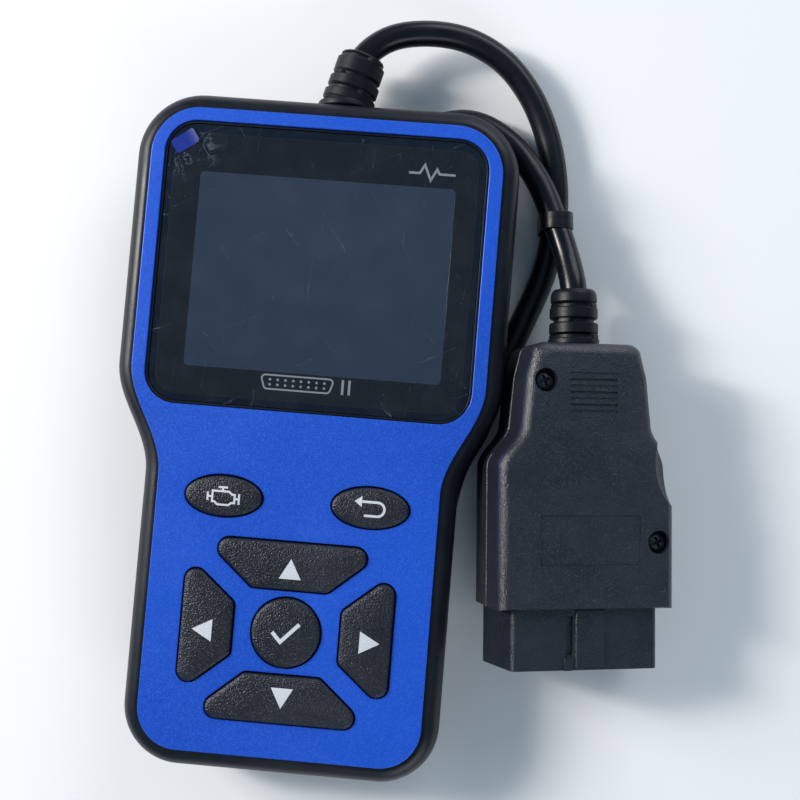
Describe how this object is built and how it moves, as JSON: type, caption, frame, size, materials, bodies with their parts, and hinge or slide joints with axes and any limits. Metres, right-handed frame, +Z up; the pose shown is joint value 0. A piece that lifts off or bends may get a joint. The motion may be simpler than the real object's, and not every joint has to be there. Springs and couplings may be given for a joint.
{
  "type": "handheld vehicle code reader",
  "caption": "Handheld vehicle code reader with a small screen, a keypad of sprung keys and a captive lead to a vehicle diagnostic plug.",
  "frame": {"origin": "middle of the case's footprint, on the surface it lies on", "axes": "+Z up out of the screen and keys, +Y along the case towards the end where the lead leaves, +X across it towards the plug"},
  "size_m": [0.1472, 0.2007, 0.0331],
  "materials": {
    "case_black": "fine textured satin black",
    "face_blue": "satin metallic blue lacquer",
    "label_silver": "blank silver label stock",
    "lens_black": "black-bordered acrylic window",
    "film_clear": "clear protective film",
    "tab_blue": "blue pull tab",
    "lcd_glass": "unlit display",
    "lcd_frame": "pressed steel display frame",
    "flex_amber": "amber flexible circuit",
    "board_green": "green solder mask",
    "chip_black": "moulded chip bodies",
    "socket_ivory": "ivory connector body",
    "buzzer_black": "moulded buzzer body",
    "pad_gold": "gold plated contact",
    "wire_red": "insulated wire",
    "mat_rubber": "dark silicone",
    "key_rubber": "coarse grained black silicone with pale grey legends",
    "screw_steel": "zinc plated screws",
    "gland_rubber": "ribbed black strain relief",
    "lead_black": "smooth black lead jacket",
    "tie_black": "black twist tie",
    "plug_black": "spark-textured charcoal plastic",
    "shroud_black": "smoother black plastic",
    "contact_tin": "tin plated blades",
    "plug_screw_dark": "black oxide cross-head screws"
  },
  "bodies": {
    "case": {"front_shell": "case_black", "face_panel": "face_blue", "rear_shell": "case_black", "rear_label": "label_silver", "screen_lens": "lens_black", "screen_film": "film_clear", "film_tab": "tab_blue", "lcd_glass": "lcd_glass", "lcd_frame": "lcd_frame", "display_ribbon": "flex_amber", "main_board": "board_green", "board_chips": "chip_black", "board_socket": "socket_ivory", "buzzer": "buzzer_black", "contact_pads": "pad_gold", "lead_wires": "wire_red", "keypad_mat": "mat_rubber", "case_screws": "screw_steel", "case_gland": "gland_rubber", "cable": "lead_black", "cable_tie": "tie_black", "plug_top_shell": "plug_black", "plug_bottom_shell": "plug_black", "plug_shroud": "shroud_black", "contact_pins": "contact_tin", "plug_gland": "gland_rubber", "plug_screws": "plug_screw_dark"},
    "up": {"up_key": "key_rubber"},
    "down": {"down_key": "key_rubber"},
    "left": {"left_key": "key_rubber"},
    "right": {"right_key": "key_rubber"},
    "ok": {"ok_key": "key_rubber"},
    "codes": {"codes_key": "key_rubber"},
    "back": {"back_key": "key_rubber"}
  },
  "joints": [
    {"name": "up_press", "type": "slide", "parent": "case", "child": "up", "axis": [0, 0, -1], "range_m": [0, 0.0009], "stiffness_N_per_m": 1300},
    {"name": "down_press", "type": "slide", "parent": "case", "child": "down", "axis": [0, 0, -1], "range_m": [0, 0.0009], "stiffness_N_per_m": 1300},
    {"name": "left_press", "type": "slide", "parent": "case", "child": "left", "axis": [0, 0, -1], "range_m": [0, 0.0009], "stiffness_N_per_m": 1300},
    {"name": "right_press", "type": "slide", "parent": "case", "child": "right", "axis": [0, 0, -1], "range_m": [0, 0.0009], "stiffness_N_per_m": 1300},
    {"name": "ok_press", "type": "slide", "parent": "case", "child": "ok", "axis": [0, 0, -1], "range_m": [0, 0.0009], "stiffness_N_per_m": 1300},
    {"name": "codes_press", "type": "slide", "parent": "case", "child": "codes", "axis": [0, 0, -1], "range_m": [0, 0.0009], "stiffness_N_per_m": 1300},
    {"name": "back_press", "type": "slide", "parent": "case", "child": "back", "axis": [0, 0, -1], "range_m": [0, 0.0009], "stiffness_N_per_m": 1300}
  ]
}
